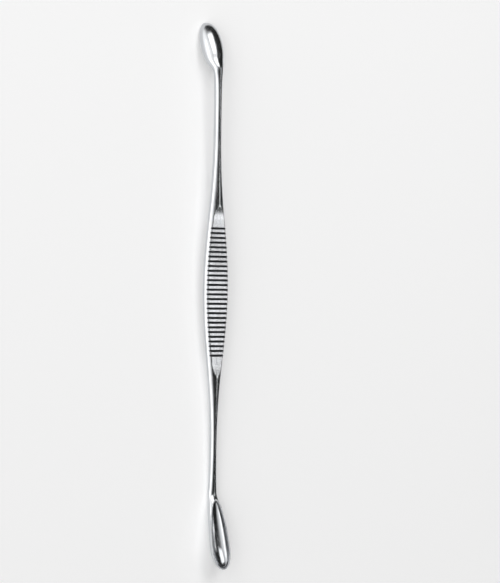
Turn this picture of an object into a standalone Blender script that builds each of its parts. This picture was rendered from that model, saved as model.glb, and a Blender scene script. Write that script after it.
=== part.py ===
# Bone curette, double-ended and forged in one piece of stainless steel.
# An oval cup faces one way, a long pear-shaped cup the other, on a flat ribbed handle.
# Metres. The long axis lies along Y, oval cup towards +Y, as the piece rests on a table.

import math

import bmesh
import bpy
from mathutils import Matrix, Vector

MM = 0.001
DEG = math.pi / 180

# Handle: an oval spindle that swells from the two necks to its middle
HANDLE_WIDTH = 9.6 * MM
HANDLE_THICKNESS = 4.0 * MM
SWELL_HALF_LENGTH = 50.0 * MM
SWELL_POWER = 1.3
GRIP_CENTRE = -0.6 * MM

# Milled flats on its two broad sides, with the run-out that the cutter leaves
FLAT_THICKNESS = 2.3 * MM
FLAT_HALF_LENGTH = 21.6 * MM
CUTTER_RADIUS = 25.0 * MM
RUN_OUT_LENGTH = 11.0 * MM
RUN_OUT_STEPS = 9
CUTTER_HEIGHT = 6.0 * MM
CUTTER_WIDTH = 14.0 * MM

# Grip grooves across both flats
GROOVE_COUNT = 28
GROOVE_PITCH = 1.42 * MM
GROOVE_RADIUS = 0.31 * MM
GROOVE_DEPTH = 0.28 * MM
GROOVE_SIDES = 12

# Each end: a shank from the handle's middle to the rim's point, then the cup.
# In a cup, x runs from the tip back to the rim's point.
OVAL_CUP = {
    "shank": 66.8 * MM,
    "length": 14.2 * MM,
    "width": 8.1 * MM,
    "widest": 6.8 * MM,
    "tip_power": 2.2,
    "depth": 3.5 * MM,
    "deepest": 8.0 * MM,
    "rim_rise": 1.8 * MM,
    "tilt": 15.0 * DEG,
    "neck_radius": 1.2 * MM,
    "neck_drop": 0.0 * MM,
    "flare": 0.75 * MM,
    "flare_length": 2.4 * MM,
    "bowl_centre": 6.6 * MM,
}
LONG_CUP = {
    "shank": 63.0 * MM,
    "length": 21.0 * MM,
    "width": 7.3 * MM,
    "widest": 5.7 * MM,
    "tip_power": 2.0,
    "depth": 3.25 * MM,
    "deepest": 7.3 * MM,
    "rim_rise": 1.6 * MM,
    "tilt": 11.0 * DEG,
    "neck_radius": 1.1 * MM,
    "neck_drop": 0.15 * MM,
    "flare": 0.7 * MM,
    "flare_length": 5.0 * MM,
    "bowl_centre": 7.6 * MM,
}
RIM_LAND = 0.42 * MM
FLOOR_THICKNESS = 0.62 * MM
TIP_PROFILE_POWER = 2.2
HEEL_POWER = 2.0
MERGE_POWER = 4.0

# Steps of the lofted skin
COLUMNS = 36
TIP_STEPS = 8
RIM_STEPS = 12
FLARE_STEPS = 8
FLARE_ZONE = 12.0 * MM
FLARE_SPACING = 1.5
SHANK_STEPS = 24
BOWL_RINGS = 7

# It lies on the oval cup's tip and the far neck, so the handle slopes a little
REST_PITCH = 1.7 * DEG

WELD = 0.001 * MM
SHARP_ANGLE = 32.0 * DEG


def smooth_step(value):
    value = min(max(value, 0.0), 1.0)
    return value * value * (3.0 - 2.0 * value)


def swell(along):
    # 1 at the handle's middle, 0 at both necks
    if along >= SWELL_HALF_LENGTH:
        return 0.0
    return (0.5 * (1.0 + math.cos(math.pi * along / SWELL_HALF_LENGTH))) ** SWELL_POWER


def tip_distance(cup):
    return cup["shank"] + cup["length"]


def shank(cup, along):
    # Half width, half thickness and height of the shank's axis
    grow = swell(along)
    neck = cup["neck_radius"]
    wide = neck + (HANDLE_WIDTH / 2 - neck) * grow
    thick = neck + (HANDLE_THICKNESS / 2 - neck) * grow
    straight = cup["shank"] - FLAT_HALF_LENGTH
    axis = -cup["neck_drop"] * smooth_step((along - FLAT_HALF_LENGTH) / straight)
    return wide, thick, axis


def egg(cup, x, peak, tip_power):
    # 0 at the cup's tip and at the rim's point, 1 at the peak between them
    if x <= 0.0 or x >= cup["length"]:
        return 0.0
    if x < peak:
        power, part = tip_power, (peak - x) / peak
    else:
        power, part = HEEL_POWER, (x - peak) / (cup["length"] - peak)
    return (1.0 - part ** power) ** (1.0 / power)


def merged(first, second):
    # The larger of two sizes, with a soft change from one to the other
    return (first ** MERGE_POWER + second ** MERGE_POWER) ** (1.0 / MERGE_POWER)


def flare(cup, x):
    # Extra half width where the neck spreads into the cup
    away = (x - cup["length"]) / cup["flare_length"]
    return cup["flare"] * (math.exp(-away) if away > 0.0 else 1.0 - away)


def neck_section(cup, x):
    # Full section between the handle and the rim's point
    length = cup["length"]
    wide, thick, axis = shank(cup, tip_distance(cup) - x)
    end_wide, end_thick, _ = shank(cup, cup["shank"])
    wide += flare(cup, x)
    # The front climbs in a hollow curve from the neck to the rim's point
    rise = cup["rim_rise"] - end_thick
    point_radius = (cup["width"] / 2) ** 2 / (length - cup["widest"])
    slope = end_thick * point_radius / (end_wide + cup["flare"]) ** 2 + math.tan(cup["tilt"])
    climb = min((x - length) * slope / (2.0 * rise), 1.0)
    front = axis + thick + rise * (1.0 - climb) ** 2
    return wide, axis - thick, front - thick, thick, math.pi / 2


def cup_section(cup, x):
    # Open section through the cup: the skin runs from one rim edge round the back to the other
    length, widest = cup["length"], cup["widest"]
    wide, thick, axis = shank(cup, tip_distance(cup) - x)
    end_axis = shank(cup, cup["shank"])[2]
    rim = end_axis + cup["rim_rise"] + (length - x) * math.tan(cup["tilt"])
    root = (wide + flare(cup, x)) * smooth_step((x - widest) / (length - widest))
    mouth = cup["width"] / 2 * egg(cup, x, widest, cup["tip_power"])
    wide = merged(mouth, root)
    edge = math.acos(min(mouth / wide, 1.0)) if wide > 0.0 else 0.0

    # Behind, an even shell, with the neck running out under its heel
    deepest = cup["deepest"]
    shell = cup["depth"] * egg(cup, x, deepest, TIP_PROFILE_POWER)
    spine = (rim - axis + thick) * smooth_step((x - deepest) / (length - deepest))
    return wide, rim - merged(shell, spine), rim - thick * math.sin(edge), thick, edge


def skin_ring(cup, x):
    # Points round the section at x, starting and ending at the rim or at the front's middle line
    section = neck_section if x >= cup["length"] else cup_section
    wide, back, widest_height, front, edge = section(cup, x)
    ring = []
    for column in range(COLUMNS + 1):
        angle = edge - column / COLUMNS * (math.pi + 2.0 * edge)
        reach = front if angle > 0.0 or angle < -math.pi else widest_height - back
        height = widest_height + reach * math.sin(angle)
        ring.append(Vector((wide * math.cos(angle), tip_distance(cup) - x, height)))
    return ring


def skin_stations(cup):
    # Distances from the tip, close together where the skin turns most
    length, widest = cup["length"], cup["widest"]
    quarter = math.pi / 2
    cup_part = [widest * (1.0 - math.cos(quarter * i / TIP_STEPS)) for i in range(TIP_STEPS + 1)]
    cup_part += [
        widest + (length - widest) * math.sin(quarter * i / RIM_STEPS)
        for i in range(1, RIM_STEPS + 1)
    ]
    neck_part = [
        length + FLARE_ZONE * (i / FLARE_STEPS) ** FLARE_SPACING for i in range(1, FLARE_STEPS + 1)
    ]
    left = cup["shank"] - FLARE_ZONE
    neck_part += [
        length + FLARE_ZONE + left * i / SHANK_STEPS for i in range(1, SHANK_STEPS + 1)
    ]
    return cup_part, neck_part


def inner_edge(cup, rim):
    # The rim moved in by the land's width, in the rim's own plane
    slope = math.tan(cup["tilt"])
    count = len(rim)
    moved = []
    for i, point in enumerate(rim):
        before, after = rim[i - 1] - point, rim[(i + 1) % count] - point
        tangent = after.normalized() - before.normalized()
        inward = Vector((tangent.y, -tangent.x)).normalized() * RIM_LAND
        moved.append(point + Vector((inward.x, inward.y, inward.y * slope)))
    return moved


def add_strip(mesh, first, second):
    for a, b, c, d in zip(first, first[1:], second[1:], second):
        mesh.faces.new((a, b, c, d))


def add_end(mesh, cup, turn):
    # One half of the piece, from its cup's tip to the handle's middle
    cup_part, neck_part = skin_stations(cup)
    rings = [skin_ring(cup, x) for x in cup_part + neck_part]
    rows = [[mesh.verts.new(turn @ point) for point in ring] for ring in rings]
    for first, second in zip(rows, rows[1:]):
        add_strip(mesh, first, second)

    # Rim land, from the skin's edge inwards: up one side from the tip and back down the other
    cup_rings = rings[:len(cup_part)]
    rim = [ring[0] for ring in cup_rings]
    rim += [ring[-1] for ring in reversed(cup_rings[1:-1])]
    land = inner_edge(cup, rim)

    # Bowl, in shrinking copies of the land's inner edge
    centre_y = tip_distance(cup) - cup["bowl_centre"]
    end_axis = shank(cup, cup["shank"])[2]
    rise = (cup["length"] - cup["bowl_centre"]) * math.tan(cup["tilt"])
    centre = Vector((0.0, centre_y, end_axis + cup["rim_rise"] + rise))
    deep = cup["depth"] - FLOOR_THICKNESS
    loops = [rim, land]
    for i in range(1, BOWL_RINGS):
        angle = math.pi / 2 * (1.0 - i / BOWL_RINGS)
        drop = Vector((0.0, 0.0, deep * math.cos(angle)))
        loops.append([centre.lerp(point, math.sin(angle)) - drop for point in land])
    rows = [[mesh.verts.new(turn @ point) for point in loop] for loop in loops]
    for first, second in zip(rows, rows[1:]):
        add_strip(mesh, first + first[:1], second + second[:1])
    bottom = mesh.verts.new(turn @ (centre - Vector((0.0, 0.0, deep))))
    last = rows[-1]
    for a, b in zip(last, last[1:] + last[:1]):
        mesh.faces.new((a, b, bottom))


def finish_mesh(mesh, name):
    bmesh.ops.remove_doubles(mesh, verts=mesh.verts, dist=WELD)
    bmesh.ops.dissolve_degenerate(mesh, edges=mesh.edges, dist=WELD)
    bmesh.ops.recalc_face_normals(mesh, faces=mesh.faces)
    data = bpy.data.meshes.new(name)
    mesh.to_mesh(data)
    mesh.free()
    return data


def make_blank():
    # Forged blank with both cups, before the handle is milled
    mesh = bmesh.new()
    turn_long = Matrix.Rotation(math.pi, 4, "Z")
    turn_oval = Matrix.Rotation(math.pi, 4, "Y")
    add_end(mesh, LONG_CUP, turn_long)
    add_end(mesh, OVAL_CUP, turn_oval)
    return bpy.data.objects.new("curette", finish_mesh(mesh, "curette"))


def make_flat_cutter():
    # Milling cutter's path over one flat: straight in the middle, curving away at both ends
    base = FLAT_THICKNESS / 2
    arc = []
    for i in range(1, RUN_OUT_STEPS + 1):
        away = RUN_OUT_LENGTH * i / RUN_OUT_STEPS
        lift = CUTTER_RADIUS - math.sqrt(CUTTER_RADIUS ** 2 - away ** 2)
        arc.append((FLAT_HALF_LENGTH + away, base + lift))
    half = [(FLAT_HALF_LENGTH, base)] + arc + [(arc[-1][0], base + CUTTER_HEIGHT)]
    profile = half + [(-y, z) for y, z in reversed(half)]
    mesh = bmesh.new()
    near = [mesh.verts.new((-CUTTER_WIDTH / 2, GRIP_CENTRE + y, z)) for y, z in profile]
    side = mesh.faces.new(near)
    grown = bmesh.ops.extrude_face_region(mesh, geom=[side])
    moved = [part for part in grown["geom"] if isinstance(part, bmesh.types.BMVert)]
    bmesh.ops.translate(mesh, verts=moved, vec=(CUTTER_WIDTH, 0.0, 0.0))
    return bpy.data.objects.new("flat_cutter", finish_mesh(mesh, "flat_cutter"))


def make_groove_cutter():
    # Row of round bars that cut the grip grooves of one flat
    mesh = bmesh.new()
    lie_across = Matrix.Rotation(math.pi / 2, 4, "Y")
    height = FLAT_THICKNESS / 2 + GROOVE_RADIUS - GROOVE_DEPTH
    for i in range(GROOVE_COUNT):
        y = GRIP_CENTRE + (i - (GROOVE_COUNT - 1) / 2) * GROOVE_PITCH
        bmesh.ops.create_cone(
            mesh, cap_ends=True, segments=GROOVE_SIDES, radius1=GROOVE_RADIUS,
            radius2=GROOVE_RADIUS, depth=CUTTER_WIDTH,
            matrix=Matrix.Translation((0.0, y, height)) @ lie_across,
        )
    return bpy.data.objects.new("groove_cutter", finish_mesh(mesh, "groove_cutter"))


def cut(target, tool):
    step = target.modifiers.new(tool.name, "BOOLEAN")
    step.operation = "DIFFERENCE"
    step.solver = "EXACT"
    step.object = tool


def add_tool(tool, collection, turn):
    tool.data.transform(turn)
    tool.display_type = "WIRE"
    tool.hide_render = True
    collection.objects.link(tool)


def steel():
    material = bpy.data.materials.new("stainless_steel")
    material.use_nodes = True
    shader = material.node_tree.nodes["Principled BSDF"]
    shader.inputs["Base Color"].default_value = (0.72, 0.73, 0.74, 1.0)
    shader.inputs["Metallic"].default_value = 1.0
    shader.inputs["Roughness"].default_value = 0.22
    return material


def main():
    for thing in list(bpy.data.objects):
        bpy.data.objects.remove(thing)
    parts = bpy.data.collections.new("bone_curette")
    tools = bpy.data.collections.new("cutters")
    bpy.context.scene.collection.children.link(parts)
    bpy.context.scene.collection.children.link(tools)

    curette = make_blank()
    parts.objects.link(curette)
    under = Matrix.Rotation(math.pi, 4, "Y")
    for maker in (make_flat_cutter, make_groove_cutter):
        for turn in (Matrix.Identity(4), under):
            tool = maker()
            add_tool(tool, tools, turn)
            cut(curette, tool)

    # Apply the cuts, then lay the piece down as it rests
    bpy.context.view_layer.update()
    shaped = curette.evaluated_get(bpy.context.evaluated_depsgraph_get())
    curette.data = bpy.data.meshes.new_from_object(shaped)
    curette.modifiers.clear()
    curette.data.transform(Matrix.Rotation(REST_PITCH, 4, "X"))
    corners = [vertex.co for vertex in curette.data.vertices]
    low = Vector([min(point[axis] for point in corners) for axis in range(3)])
    high = Vector([max(point[axis] for point in corners) for axis in range(3)])
    shift = Vector((-(low.x + high.x) / 2, -(low.y + high.y) / 2, -low.z))
    curette.data.transform(Matrix.Translation(shift))

    curette.data.materials.clear()
    curette.data.materials.append(steel())
    curette.data.shade_smooth()
    curette.data.set_sharp_from_angle(angle=SHARP_ANGLE)


main()
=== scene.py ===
import math

import bmesh
import bpy
from mathutils import Matrix, Vector


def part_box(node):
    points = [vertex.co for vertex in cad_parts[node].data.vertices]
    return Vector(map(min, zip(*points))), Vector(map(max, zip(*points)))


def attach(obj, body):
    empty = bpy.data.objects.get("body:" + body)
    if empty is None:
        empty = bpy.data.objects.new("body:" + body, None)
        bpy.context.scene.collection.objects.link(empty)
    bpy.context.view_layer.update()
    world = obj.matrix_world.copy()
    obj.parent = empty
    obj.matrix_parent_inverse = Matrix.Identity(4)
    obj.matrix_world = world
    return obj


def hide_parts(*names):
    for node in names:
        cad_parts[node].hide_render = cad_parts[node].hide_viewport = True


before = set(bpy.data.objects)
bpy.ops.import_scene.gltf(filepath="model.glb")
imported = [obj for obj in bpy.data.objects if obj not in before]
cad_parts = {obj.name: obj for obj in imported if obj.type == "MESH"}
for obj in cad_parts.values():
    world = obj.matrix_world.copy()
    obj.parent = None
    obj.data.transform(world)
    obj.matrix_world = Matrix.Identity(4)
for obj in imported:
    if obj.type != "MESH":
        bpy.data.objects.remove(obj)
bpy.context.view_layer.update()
solidLow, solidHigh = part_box("curette")

mm = 0.001
print("solid loaded,", round((solidHigh.y - solidLow.y) / mm, 1), "mm long")

restPitch = math.radians(1.7)  # the handle slopes a little where the piece lies
acrossAxis = Vector((1, 0, 0))
alongAxis = Vector((0, math.cos(restPitch), math.sin(restPitch)))
faceAxis = Vector((0, -math.sin(restPitch), math.cos(restPitch)))

handle = {
    "width": 9.6 * mm,
    "thickness": 4.0 * mm,  # before the flats were milled
    "swellHalf": 50.0 * mm,  # from the middle to where the neck starts
    "swellPower": 1.3,  # more makes the swelling shorter
    "gripCentre": -0.6 * mm,  # the flats and their grooves sit a little towards the long cup
    "flatThickness": 2.3 * mm,
    "flatHalf": 21.6 * mm,
    "cutterRadius": 25.0 * mm,  # the cutter's wheel leaves this curve at both ends of a flat
    "edgeWear": 0.06 * mm,  # along the edges of the flats and ribs
}

grooves = {
    "count": 28,
    "pitch": 1.42 * mm,
    "radius": 0.27 * mm,
    "depth": 0.28 * mm,
    "lip": 0.07 * mm,  # worn round edge between groove and rib
    "bottomSteps": 4,
    "lipSteps": 3,
    "closestRings": 0.007 * mm,  # rings nearer to each other than this become one
}

ovalCup = {
    "side": 1,  # points along +Y
    "shank": 66.8 * mm,  # handle's middle to the rim's point
    "length": 14.2 * mm,  # rim's point to the tip
    "width": 8.1 * mm,
    "widest": 6.8 * mm,  # from the tip, as the next two places are
    "deepest": 8.0 * mm,
    "bowlCentre": 6.6 * mm,
    "tipPower": 2.2,  # 2 is a round tip, more a blunter one
    "depth": 3.5 * mm,  # rim to the outside of the back
    "rimRise": 1.8 * mm,  # rim's point above the neck's middle line
    "tilt": math.radians(15.0),  # of the rim's plane, which climbs towards the tip
    "neckRadius": 1.2 * mm,
    "neckDrop": 0.0,  # the neck's middle line below the handle's
    "flare": 0.75 * mm,  # what the neck gains on each side where it meets the cup
    "flareLength": 2.4 * mm,
}

longCup = {
    "side": -1,  # points along -Y
    "shank": 63.0 * mm,
    "length": 21.0 * mm,
    "width": 7.3 * mm,
    "widest": 5.7 * mm,
    "deepest": 7.3 * mm,
    "bowlCentre": 7.6 * mm,
    "tipPower": 2.0,
    "depth": 3.25 * mm,
    "rimRise": 1.6 * mm,
    "tilt": math.radians(11.0),
    "neckRadius": 1.1 * mm,
    "neckDrop": 0.15 * mm,
    "flare": 0.7 * mm,
    "flareLength": 5.0 * mm,
}

rim = {
    "land": 0.42 * mm,  # width of the narrow face that goes round the mouth
    "floor": 0.62 * mm,  # wall left under the bowl's bottom
    "profilePower": 2.2,  # roundness of the back towards the tip, seen from the side
    "heelPower": 2.0,  # roundness of the outline and the back towards the neck
    "mergePower": 4.0,  # more makes the change from neck to cup sharper
    "wear": 0.07 * mm,  # both edges of the rim are rounded over
    "wearSteps": 3,
    "wearFade": 2.0 * mm,  # and come up sharp at the rim's point
    "firstLevel": 1.5,  # one more loop, this many times the wear from an edge, keeps the land flat
}

# how finely the skin is drawn
steps = {
    "tip": 20,  # rings from the tip to the widest place, and then to the rim's point
    "rim": 32,
    "flare": 24,
    "flareZone": 12.0 * mm,  # the part of the neck nearest the cup
    "flareSpacing": 1.5,  # more brings its rings closer to the cup
    "neck": 30,
    "handle": 0.5 * mm,  # from ring to ring outside the grooves
    "flatColumns": 7,  # columns in a quarter of a ring: on the flat, round its edge, down the side
    "edgeColumns": 7,
    "sideColumns": 10,
    "gatherFrom": 27.0 * mm,  # between these two the columns go from gathered to even
    "gatherTo": 36.0 * mm,
    "bowl": 18,  # loops from the rim's land to the bottom
}

quarterColumns = steps["flatColumns"] + steps["edgeColumns"] + steps["sideColumns"]
steepest = math.radians(84)  # no column stands nearer the broad side's middle than this
weld = 0.0005 * mm  # points nearer to each other than this become one
sharpAngle = math.radians(42)
faceKinds = {"body": 0, "bowl": 1, "flat": 2, "groove": 3}


def smoothStep(value):
    value = min(max(value, 0.0), 1.0)
    return value * value * (3.0 - 2.0 * value)


def blend(first, second, share):
    return first + (second - first) * share


def flatHeight(y):
    # the milled flat above the handle's middle, rising where the cutter ran out
    radius = handle["cutterRadius"]
    away = min(max(abs(y - handle["gripCentre"]) - handle["flatHalf"], 0.0), radius)
    return handle["flatThickness"] / 2 + radius - math.sqrt(radius ** 2 - away ** 2)


def grooveProfile():
    # half a groove as (distance from its middle, drop below the flat)
    radius, lip = grooves["radius"], grooves["lip"]
    centreDrop = grooves["depth"] - radius
    join = math.sqrt(radius ** 2 - (lip - centreDrop) ** 2)
    profile = []
    for i in range(grooves["bottomSteps"] + 1):
        angle = math.asin(join / radius) * i / grooves["bottomSteps"]
        profile.append((radius * math.sin(angle), centreDrop + radius * math.cos(angle)))
    for i in range(1, grooves["lipSteps"] + 1):
        angle = math.pi / 2 * i / grooves["lipSteps"]
        profile.append((join + lip * (1 - math.cos(angle)), lip * (1 - math.sin(angle))))
    return profile


grooveHalf = grooveProfile()
firstGroove = handle["gripCentre"] - (grooves["count"] - 1) / 2 * grooves["pitch"]
grooveMiddles = [firstGroove + i * grooves["pitch"] for i in range(grooves["count"])]


def grooveDrop(y):
    away = min(abs(y - middle) for middle in grooveMiddles)
    for (near, high), (far, low) in zip(grooveHalf, grooveHalf[1:]):
        if near <= away < far:
            return blend(high, low, (away - near) / (far - near))
    return 0.0


def wornUnder(height, limit):
    # the lower of the two, rounded over where they meet
    wear = handle["edgeWear"]
    reach = max(wear - abs(height - limit), 0.0)
    return min(height, limit) - reach ** 2 / (4.0 * wear)


def tipDistance(cup):
    return cup["shank"] + cup["length"]


def shankSize(cup, along):
    # half width, half thickness and the height of the middle line
    grow = 0.0
    if along < handle["swellHalf"]:
        grow = (0.5 * (1.0 + math.cos(math.pi * along / handle["swellHalf"]))) ** handle["swellPower"]
    neck = cup["neckRadius"]
    wide = blend(neck, handle["width"] / 2, grow)
    thick = blend(neck, handle["thickness"] / 2, grow)
    straight = cup["shank"] - handle["flatHalf"]
    middle = -cup["neckDrop"] * smoothStep((along - handle["flatHalf"]) / straight)
    return wide, thick, middle


def egg(cup, x, peak, tipPower):
    # 0 at the cup's tip and at the rim's point, 1 at the peak between them
    if x <= 0.0 or x >= cup["length"]:
        return 0.0
    if x < peak:
        power, part = tipPower, (peak - x) / peak
    else:
        power, part = rim["heelPower"], (x - peak) / (cup["length"] - peak)
    return (1.0 - part ** power) ** (1.0 / power)


def merged(first, second):
    # the larger of two sizes, with a soft change from one to the other
    power = rim["mergePower"]
    return (first ** power + second ** power) ** (1.0 / power)


def flareAt(cup, x):
    # the neck spreads into the cup
    away = (x - cup["length"]) / cup["flareLength"]
    return cup["flare"] * (math.exp(-away) if away > 0.0 else 1.0 - away)


def neckSection(cup, x):
    # half width, height of the back, height of the widest line, the front's reach above that line
    # and the angle at which the ring starts, which is a quarter turn where it is closed
    wide, thick, middle = shankSize(cup, tipDistance(cup) - x)
    endWide, endThick, _ = shankSize(cup, cup["shank"])
    wide += flareAt(cup, x)
    # the front climbs in a hollow curve to the rim's point
    rise = cup["rimRise"] - endThick
    pointRadius = (cup["width"] / 2) ** 2 / (cup["length"] - cup["widest"])
    slope = endThick * pointRadius / (endWide + cup["flare"]) ** 2 + math.tan(cup["tilt"])
    climb = min((x - cup["length"]) * slope / (2.0 * rise), 1.0)
    front = middle + thick + rise * (1.0 - climb) ** 2
    return wide, middle - thick, front - thick, thick, math.pi / 2


def cupSection(cup, x):
    # the same five for a ring that is open at the cup's mouth
    length, widest, deepest = cup["length"], cup["widest"], cup["deepest"]
    wide, thick, middle = shankSize(cup, tipDistance(cup) - x)
    endMiddle = shankSize(cup, cup["shank"])[2]
    rimHeight = endMiddle + cup["rimRise"] + (length - x) * math.tan(cup["tilt"])
    root = (wide + flareAt(cup, x)) * smoothStep((x - widest) / (length - widest))
    mouth = cup["width"] / 2 * egg(cup, x, widest, cup["tipPower"])
    wide = merged(mouth, root)
    edge = math.acos(min(mouth / wide, 1.0)) if wide > 0.0 else 0.0
    # behind, an even shell, with the neck running out under its heel
    shell = cup["depth"] * egg(cup, x, deepest, rim["profilePower"])
    spine = (rimHeight - middle + thick) * smoothStep((x - deepest) / (length - deepest))
    return wide, rimHeight - merged(shell, spine), rimHeight - thick * math.sin(edge), thick, edge


def gatheredAngles(limit, thick, share):
    # from the broad side's middle to the narrow edge, with columns gathered where the flat ends
    wear = handle["edgeWear"]
    top = math.sin(steepest)
    inner = math.asin(min((limit + wear) / thick, top))
    outer = math.asin(min((limit - wear) / thick, top))
    quarter = math.pi / 2
    gathered = [blend(quarter, inner, i / steps["flatColumns"]) for i in range(steps["flatColumns"])]
    gathered += [blend(inner, outer, i / steps["edgeColumns"]) for i in range(steps["edgeColumns"])]
    gathered += [blend(outer, 0.0, i / steps["sideColumns"]) for i in range(steps["sideColumns"] + 1)]
    even = [quarter * (1.0 - i / quarterColumns) for i in range(quarterColumns + 1)]
    return [blend(plain, close, share) for plain, close in zip(even, gathered)]


def ringAngles(cup, x, thick, edge):
    along = tipDistance(cup) - x
    if along >= steps["gatherTo"]:
        columns = 4 * quarterColumns
        return [edge - (math.pi + 2.0 * edge) * i / columns for i in range(columns + 1)]
    y = cup["side"] * along
    share = 1.0 - smoothStep((along - steps["gatherFrom"]) / (steps["gatherTo"] - steps["gatherFrom"]))
    down = gatheredAngles(flatHeight(y) - grooveDrop(y), thick, share)
    up = [-angle for angle in reversed(down)]
    rightSide = down + up[1:]
    leftSide = [angle - math.pi for angle in rightSide[1:]]
    return rightSide + leftSide


def skinRing(cup, x):
    section = neckSection if x >= cup["length"] else cupSection
    wide, back, widestHeight, frontReach, edge = section(cup, x)
    along = tipDistance(cup) - x
    y = cup["side"] * along
    limit = flatHeight(y) - grooveDrop(y)
    rounded = rim["wear"] * smoothStep((cup["length"] - x) / rim["wearFade"])
    ring = []
    for angle in ringAngles(cup, x, frontReach, edge):
        inFront = angle > 0.0 or angle < -math.pi
        reach = frontReach if inFront else widestHeight - back
        height = widestHeight + reach * math.sin(angle)
        height = wornUnder(height, limit) if height > 0.0 else -wornUnder(-height, limit)
        ring.append(Vector((wide * math.cos(angle), along, height)))
    for end in (0, -1):  # both sides of the mouth, where the rim's outer edge is worn
        ring[end].z -= rounded
    return ring


def spaced(first, last, count):
    return [blend(first, last, i / count) for i in range(1, count + 1)]


def handleStations(cup):
    # distances from the handle's middle: even on the plain parts, and every turn of each groove
    found = [0.0]
    clear = grooveHalf[-1][0] + grooves["lip"]  # one more ring keeps each rib's top flat
    for middle in grooveMiddles:
        for away in [away for away, _ in grooveHalf] + [clear]:
            found += [(middle + away) * cup["side"], (middle - away) * cup["side"]]
    plain = max(found) + steps["handle"]
    while plain < steps["gatherTo"]:
        found.append(plain)
        plain += steps["handle"]
    kept = []
    for along in sorted(found, reverse=True):
        if along >= 0.0 and (not kept or kept[-1] - along > grooves["closestRings"]):
            kept.append(along)
    kept[-1] = 0.0
    return kept


def skinStations(cup):
    # distances from the tip, closer together where the skin turns most
    length, widest, quarter = cup["length"], cup["widest"], math.pi / 2
    cupPart = [widest * (1 - math.cos(quarter * i / steps["tip"])) for i in range(steps["tip"] + 1)]
    for i in range(1, steps["rim"] + 1):
        cupPart.append(blend(widest, length, math.sin(quarter * i / steps["rim"])))
    neckPart = []
    for i in range(1, steps["flare"] + 1):
        share = (i / steps["flare"]) ** steps["flareSpacing"]
        neckPart.append(length + steps["flareZone"] * share)
    handlePart = [tipDistance(cup) - along for along in handleStations(cup)]
    neckPart += spaced(length + steps["flareZone"], handlePart[0], steps["neck"])
    return cupPart, neckPart + handlePart[1:]


def movedInward(cup, edgeLoop, inset, drop):
    # a loop moved in from the rim's edge in the rim's own plane, then down
    slope, moved = math.tan(cup["tilt"]), []
    for i, point in enumerate(edgeLoop):
        back = edgeLoop[i - 1] - point
        ahead = edgeLoop[(i + 1) % len(edgeLoop)] - point
        tangent = ahead.normalized() - back.normalized()
        inward = Vector((tangent.y, -tangent.x)).normalized() * inset
        fade = smoothStep((point.y - cup["shank"]) / rim["wearFade"])
        moved.append(point + Vector((inward.x, inward.y, inward.y * slope - drop * fade)))
    return moved


def rimLoops(cup, edgeLoop):
    # the rim's land between its two rounded edges
    arc = []
    for i in range(rim["wearSteps"] + 1):
        angle = math.pi / 2 * i / rim["wearSteps"]
        arc.append((rim["wear"] * (1 - math.cos(angle)), rim["wear"] * (1 - math.sin(angle))))
    arc.append((rim["firstLevel"] * rim["wear"], 0.0))
    across = arc[1:] + [(rim["land"] - inset, drop) for inset, drop in reversed(arc)]
    return [movedInward(cup, edgeLoop, inset, drop) for inset, drop in across]


def bowlLoops(cup, lastLoop):
    # shrinking copies of the land's inner edge, down to the bottom
    rise = (cup["length"] - cup["bowlCentre"]) * math.tan(cup["tilt"])
    height = shankSize(cup, cup["shank"])[2] + cup["rimRise"] + rise
    centre = Vector((0.0, tipDistance(cup) - cup["bowlCentre"], height))
    deep = cup["depth"] - rim["floor"]
    loops = []
    for i in range(1, steps["bowl"]):
        angle = math.pi / 2 * (1.0 - i / steps["bowl"])
        drop = Vector((0.0, 0.0, deep * math.cos(angle)))
        loops.append([centre.lerp(point, math.sin(angle)) - drop for point in lastLoop])
    return loops, centre - Vector((0.0, 0.0, deep))


def faceKind(cup, middle, column):
    # what the cutter left at this column of the handle, half way between two rings
    if middle >= steps["gatherFrom"]:
        return "body"
    y = cup["side"] * middle
    fromBroadSide = column % (2 * quarterColumns)
    if fromBroadSide >= quarterColumns:
        fromBroadSide = 2 * quarterColumns - 1 - fromBroadSide
    onFlat = fromBroadSide < steps["flatColumns"] + steps["edgeColumns"] // 2
    if not onFlat or flatHeight(y) > shankSize(cup, middle)[1]:
        return "body"
    return "groove" if grooveDrop(y) > grooves["lip"] / 2 else "flat"


def addSkin(mesh, cup, rings, turn):
    rows = [[mesh.verts.new(turn @ point) for point in ring] for ring in rings]
    for upper, lower, ringA, ringB in zip(rows, rows[1:], rings, rings[1:]):
        middle = (ringA[0].y + ringB[0].y) / 2
        for column in range(len(upper) - 1):
            corners = (upper[column], upper[column + 1], lower[column + 1], lower[column])
            mesh.faces.new(corners).material_index = faceKinds[faceKind(cup, middle, column)]


def addLoops(mesh, loops, kind, turn):
    rows = [[mesh.verts.new(turn @ point) for point in loop] for loop in loops]
    for outer, inner in zip(rows, rows[1:]):
        for a, b, c, d in zip(outer, outer[1:] + outer[:1], inner[1:] + inner[:1], inner):
            mesh.faces.new((a, b, c, d)).material_index = faceKinds[kind]
    return rows[-1]


def addEnd(mesh, cup, turn):
    cupPart, neckPart = skinStations(cup)
    rings = [skinRing(cup, x) for x in cupPart + neckPart]
    addSkin(mesh, cup, rings, turn)

    cupRings = rings[:len(cupPart)]
    outline = [ring[0] for ring in cupRings] + [ring[-1] for ring in reversed(cupRings[1:-1])]
    level = []
    for point in outline:  # the rim's own plane, before its edge was rounded
        fade = smoothStep((point.y - cup["shank"]) / rim["wearFade"])
        level.append(point + Vector((0.0, 0.0, rim["wear"] * fade)))
    land = rimLoops(cup, level)
    addLoops(mesh, [outline] + land, "body", turn)
    bowl, bottom = bowlLoops(cup, land[-1])
    last = addLoops(mesh, land[-1:] + bowl, "bowl", turn)
    lowest = mesh.verts.new(turn @ bottom)
    for a, b in zip(last, last[1:] + last[:1]):
        mesh.faces.new((a, b, lowest)).material_index = faceKinds["bowl"]


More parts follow.
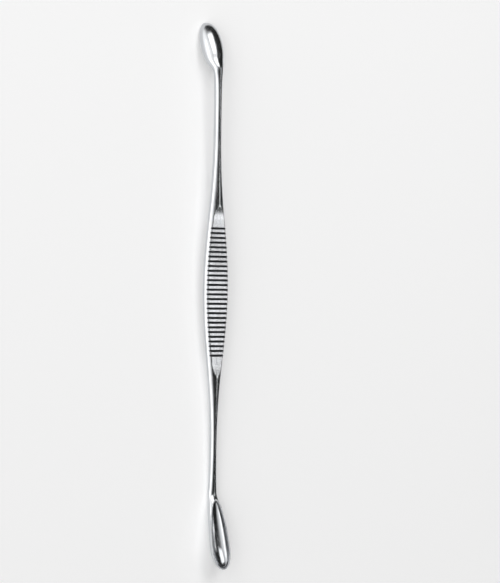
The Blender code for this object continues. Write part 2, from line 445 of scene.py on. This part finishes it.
def layDown(data):
    # on the solid's own place: same slope, same middle, same base; gives back how far it moved
    data.transform(Matrix.Rotation(restPitch, 4, "X"))
    points = [vertex.co for vertex in data.vertices]
    low = [min(point[axis] for point in points) for axis in range(3)]
    high = [max(point[axis] for point in points) for axis in range(3)]
    shift = (solidLow + solidHigh) / 2 - (Vector(low) + Vector(high)) / 2
    shift.z = solidLow.z - low[2]
    data.transform(Matrix.Translation(shift))
    return shift


def makeCurette():
    mesh = bmesh.new()
    addEnd(mesh, longCup, Matrix.Rotation(math.pi, 4, "Z"))
    addEnd(mesh, ovalCup, Matrix.Rotation(math.pi, 4, "Y"))
    bmesh.ops.remove_doubles(mesh, verts=mesh.verts, dist=weld)
    bmesh.ops.dissolve_degenerate(mesh, edges=mesh.edges, dist=weld)
    bmesh.ops.recalc_face_normals(mesh, faces=mesh.faces)
    openEdges = [edge for edge in mesh.edges if len(edge.link_faces) != 2]
    data = bpy.data.meshes.new("curetteSteel")
    mesh.to_mesh(data)
    mesh.free()
    shift = layDown(data)
    data.shade_smooth()
    data.set_sharp_from_angle(angle=sharpAngle)
    curette = bpy.data.objects.new("curetteSteel", data)
    bpy.context.scene.collection.objects.link(curette)
    print("curette,", len(data.polygons), "faces,", len(openEdges), "open edges")
    return curette, shift


# every finish of the one steel, with painted shade in the bowl's darker colour and at the grooves'
# bottoms; streaks, grain and clouds are noise scales, in turns to the metre
steelLook = {
    "body": {
        "colour": (0.64, 0.65, 0.665, 1),
        "shade": (0.58, 0.595, 0.615, 1),
        "roughness": (0.17, 0.25),
        "streaks": (5200, 160, 5200),  # fine lines along the piece
        "grain": 9000,
        "relief": 1.0,
    },
    "bowl": {
        # colour and shade are darker than the body's steel: painted shade for the bowl's hollow
        "colour": (0.50, 0.51, 0.525, 1),
        "shade": (0.42, 0.43, 0.445, 1),
        "roughness": (0.16, 0.24),
        "streaks": (1300, 900, 1300),  # polished round and round, so no line is long
        "grain": 6000,
        "relief": 0.4,  # and all are fainter
    },
    "flat": {
        "colour": (0.64, 0.65, 0.665, 1),
        "shade": (0.58, 0.595, 0.615, 1),
        "roughness": (0.18, 0.28),
        "streaks": (4200, 120, 4200),
        "grain": 9000,
        "relief": 1.0,
    },
    "groove": {
        "colour": (0.64, 0.65, 0.665, 1),
        "shade": (0.58, 0.595, 0.615, 1),
        "roughness": (0.40, 0.55),
        "streaks": (400, 4200, 400),  # lines across, as the groove was cut
        "grain": 8000,
        "relief": 1.0,
    },
    "clouds": (160, 110, 160),
    "detail": 2.0,
    "cloudRoughness": 0.5,
    "lineRoughness": 0.6,  # of the streaks and the grain
    "noiseRange": (0.3, 0.7),  # what a noise gives nearly everywhere
    "pairRange": (0.7, 1.3),  # and what two of them give, added
    "cloudRelief": 0.02 * mm,
    "streakRelief": 0.002 * mm,
    "grainRelief": 0.0008 * mm,
    # painted shade in the grooves: this colour is mixed in more the deeper a point lies below the flat
    "groovePaintedShade": (0.10, 0.102, 0.108, 1),
    "groovePaintedShadeFrom": 0.04 * mm,  # below the flat
    "groovePaintedShadeTo": 0.16 * mm,
}


class NodeDesk:
    # shorthand for building one material's nodes

    def __init__(self, name):
        self.material = bpy.data.materials.new(name)
        self.material.use_nodes = True
        self.tree = self.material.node_tree
        self.shader = self.tree.nodes["Principled BSDF"]
        self.place = self.tree.nodes.new("ShaderNodeTexCoord").outputs["Object"]

    def node(self, kind, values, **settings):
        made = self.tree.nodes.new(kind)
        for key, value in settings.items():
            setattr(made, key, value)
        for key, value in values.items():
            self.feed(made.inputs[key], value)
        return made

    def feed(self, socket, value):
        if isinstance(value, bpy.types.NodeSocket):
            self.tree.links.new(value, socket)
        else:
            socket.default_value = value

    def noise(self, scale, rough):
        mapped = self.node("ShaderNodeMapping", {"Vector": self.place, "Scale": scale})
        values = {"Vector": mapped.outputs["Vector"], "Scale": 1.0}
        values.update({"Detail": steelLook["detail"], "Roughness": rough})
        return self.node("ShaderNodeTexNoise", values).outputs["Fac"]

    def spread(self, value, given, wanted):
        # from one range onto the other
        values = {"Value": value, "From Min": given[0], "From Max": given[1]}
        values.update({"To Min": wanted[0], "To Max": wanted[1]})
        return self.node("ShaderNodeMapRange", values).outputs["Result"]

    def sums(self, first, second, operation="ADD"):
        return self.node("ShaderNodeMath", {0: first, 1: second}, operation=operation).outputs[0]

    def mixed(self, share, first, second):
        made = self.node("ShaderNodeMix", {"Factor": share}, data_type="RGBA")
        self.feed(made.inputs[6], first)  # the colour sockets
        self.feed(made.inputs[7], second)
        return made.outputs[2]

    def bump(self, height, distance, normal=None):
        values = {"Height": height, "Strength": 1.0, "Distance": distance}
        if normal is not None:
            values["Normal"] = normal
        return self.node("ShaderNodeBump", values).outputs["Normal"]


def steelMaterial(name, look):
    desk = NodeDesk(name)
    streak = desk.noise(look["streaks"], steelLook["lineRoughness"])
    cloud = desk.noise(steelLook["clouds"], steelLook["cloudRoughness"])
    fine = desk.noise((look["grain"],) * 3, steelLook["lineRoughness"])
    cloudShare = desk.spread(cloud, steelLook["noiseRange"], (0.0, 1.0))
    colour = desk.mixed(cloudShare, look["shade"], look["colour"])
    rough = desk.spread(desk.sums(streak, cloud), steelLook["pairRange"], look["roughness"])
    desk.feed(desk.shader.inputs["Base Color"], colour)
    desk.feed(desk.shader.inputs["Roughness"], rough)
    desk.shader.inputs["Metallic"].default_value = 1.0
    normal = desk.bump(cloud, steelLook["cloudRelief"] * look["relief"])
    normal = desk.bump(streak, steelLook["streakRelief"] * look["relief"], normal)
    normal = desk.bump(fine, steelLook["grainRelief"] * look["relief"], normal)
    desk.feed(desk.shader.inputs["Normal"], normal)
    return desk


def makeSteels(shift):
    body = steelMaterial("polishedSteel", steelLook["body"])
    bowl = steelMaterial("bowlSteelPaintedShade", steelLook["bowl"])
    flat = steelMaterial("milledFlatSteel", steelLook["flat"])
    groove = steelMaterial("grooveSteel", steelLook["groove"])

    # painted shade: the grooves darken towards their bottoms, both above and below the handle's middle
    values = {0: groove.place, 1: faceAxis}
    height = groove.node("ShaderNodeVectorMath", values, operation="DOT_PRODUCT").outputs["Value"]
    height = groove.sums(height, faceAxis.dot(shift), "SUBTRACT")
    fromMiddle = groove.node("ShaderNodeMath", {0: height}, operation="ABSOLUTE").outputs[0]
    top = handle["flatThickness"] / 2
    paintedShadeRange = (top - steelLook["groovePaintedShadeTo"], top - steelLook["groovePaintedShadeFrom"])
    paintedShade = groove.spread(fromMiddle, paintedShadeRange, (1.0, 0.0))
    baseColour = groove.shader.inputs["Base Color"]
    unshadedColour = baseColour.links[0].from_socket
    # the painted shade goes over the steel's own colour
    groove.feed(baseColour, groove.mixed(paintedShade, unshadedColour, steelLook["groovePaintedShade"]))
    return [desk.material for desk in (body, bowl, flat, groove)]


stageLook = {
    "floorSize": 3.0,
    "floorColour": (0.86, 0.86, 0.86, 1),
    "floorRoughness": 0.9,
    "floorSpecular": 0.1,
    "glowColour": (1, 1, 1, 1),
    "floorGlow": 0.25,
}


def makeFloor():
    mesh = bmesh.new()
    bmesh.ops.create_grid(mesh, x_segments=1, y_segments=1, size=stageLook["floorSize"] / 2)
    data = bpy.data.meshes.new("floor")
    mesh.to_mesh(data)
    mesh.free()
    floor = bpy.data.objects.new("floor", data)
    bpy.context.scene.collection.objects.link(floor)
    paper = NodeDesk("floorPaper")
    paper.shader.inputs["Base Color"].default_value = stageLook["floorColour"]
    paper.shader.inputs["Roughness"].default_value = stageLook["floorRoughness"]
    paper.shader.inputs["Specular IOR Level"].default_value = stageLook["floorSpecular"]
    paper.shader.inputs["Emission Color"].default_value = stageLook["glowColour"]
    # the paper is whiter to the eye and in the steel's reflections, but lights nothing more
    path = paper.node("ShaderNodeLightPath", {})
    seen = paper.sums(path.outputs["Is Camera Ray"], path.outputs["Is Glossy Ray"], "MAXIMUM")
    seen = paper.sums(seen, path.outputs["Is Transmission Ray"], "MAXIMUM")
    glow = paper.sums(seen, stageLook["floorGlow"], "MULTIPLY")
    paper.feed(paper.shader.inputs["Emission Strength"], glow)
    data.materials.append(paper.material)


# every lamp points at the origin, under the piece's middle; its size is along the piece, then across
lampLook = {
    "top": {"from": (0.0, 0.56, 0.80), "size": (0.75, 0.62), "power": 3.4},
    "side": {"from": (-0.78, 0.05, 0.42), "size": (1.0, 0.20), "power": 1.0},
    "strip": {"from": (0.60, -0.025, 0.64), "size": (0.11, 0.15), "power": 0.135},  # for the flats
    "shortStrip": {"from": (0.60, 0.13, 0.64), "size": (0.10, 0.14), "power": 0.085},  # for the rim
}


def addLamp(name, look):
    lamp = bpy.data.lights.new(name, "AREA")
    lamp.shape = "RECTANGLE"
    lamp.size, lamp.size_y = look["size"]
    lamp.energy = look["power"]
    made = bpy.data.objects.new(name, lamp)
    place = Vector(look["from"])
    outward = place.normalized()
    lengthwise = Vector((0, 1, 0))
    upward = outward.cross(lengthwise).normalized()
    side = upward.cross(outward)
    axes = Matrix((side, upward, outward)).transposed().to_4x4()
    made.matrix_world = Matrix.Translation(place) @ axes
    bpy.context.scene.collection.objects.link(made)


studioLook = {
    "colour": (1, 1, 1, 1),
    "bright": -0.72,  # up to here from the left the studio is light
    "dim": -0.05,  # and from here on it is dim
    "high": 1.5,
    "low": 0.02,
}


def makeStudio():
    # a room that is light on the left and dim on the right
    world = bpy.data.worlds.new("studio")
    bpy.context.scene.world = world
    world.use_nodes = True
    tree = world.node_tree
    place = tree.nodes.new("ShaderNodeTexCoord")
    split = tree.nodes.new("ShaderNodeSeparateXYZ")
    tree.links.new(place.outputs["Generated"], split.inputs[0])
    ramp = tree.nodes.new("ShaderNodeMapRange")
    ramp.interpolation_type = "SMOOTHSTEP"
    limits = {"From Min": "bright", "From Max": "dim", "To Min": "high", "To Max": "low"}
    for socket, value in limits.items():
        ramp.inputs[socket].default_value = studioLook[value]
    background = tree.nodes["Background"]
    background.inputs["Color"].default_value = studioLook["colour"]
    tree.links.new(split.outputs["X"], ramp.inputs["Value"])
    tree.links.new(ramp.outputs["Result"], background.inputs["Strength"])


viewLook = {
    "turn": math.radians(43),  # how far the handle's face is turned to the right
    "roll": math.radians(0.8),
    "lens": 200.0,  # lens and sensor in the camera's own millimetres
    "sensor": 36.0,
    "clip": (0.01, 20.0),
    "image": (500, 583),
    "pixel": 0.3016 * mm,  # what one pixel covers at the handle's middle
    "middlePixel": (215.3, 290.1),  # where the handle's middle stands in the picture
}


def makeCamera(shift):
    turn, roll = viewLook["turn"], viewLook["roll"]
    toCamera = faceAxis * math.cos(turn) - acrossAxis * math.sin(turn)
    right = acrossAxis * math.cos(turn) + faceAxis * math.sin(turn)
    rolledRight = right * math.cos(roll) + alongAxis * math.sin(roll)
    rolledUp = alongAxis * math.cos(roll) - right * math.sin(roll)
    wide, high = viewLook["image"]
    offRight = wide / 2 - viewLook["middlePixel"][0]
    offUp = viewLook["middlePixel"][1] - high / 2
    target = shift + (rolledRight * offRight + rolledUp * offUp) * viewLook["pixel"]
    distance = high * viewLook["pixel"] * viewLook["lens"] / viewLook["sensor"]
    data = bpy.data.cameras.new("camera")
    data.lens = viewLook["lens"]
    data.sensor_width = viewLook["sensor"]
    data.clip_start, data.clip_end = viewLook["clip"]
    camera = bpy.data.objects.new("camera", data)
    bpy.context.scene.collection.objects.link(camera)
    axes = Matrix((rolledRight, rolledUp, toCamera)).transposed().to_4x4()
    camera.matrix_world = Matrix.Translation(target + toCamera * distance) @ axes
    bpy.context.scene.camera = camera


curette, shift = makeCurette()
for material in makeSteels(shift):
    curette.data.materials.append(material)
print("steel,", len(curette.data.materials), "finishes")
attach(curette, "root")
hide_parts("curette")
makeFloor()
for name, look in lampLook.items():
    addLamp(name + "Lamp", look)
makeStudio()
makeCamera(shift)
bpy.context.scene.view_settings.view_transform = "Standard"
print("floor, lamps and camera in place")
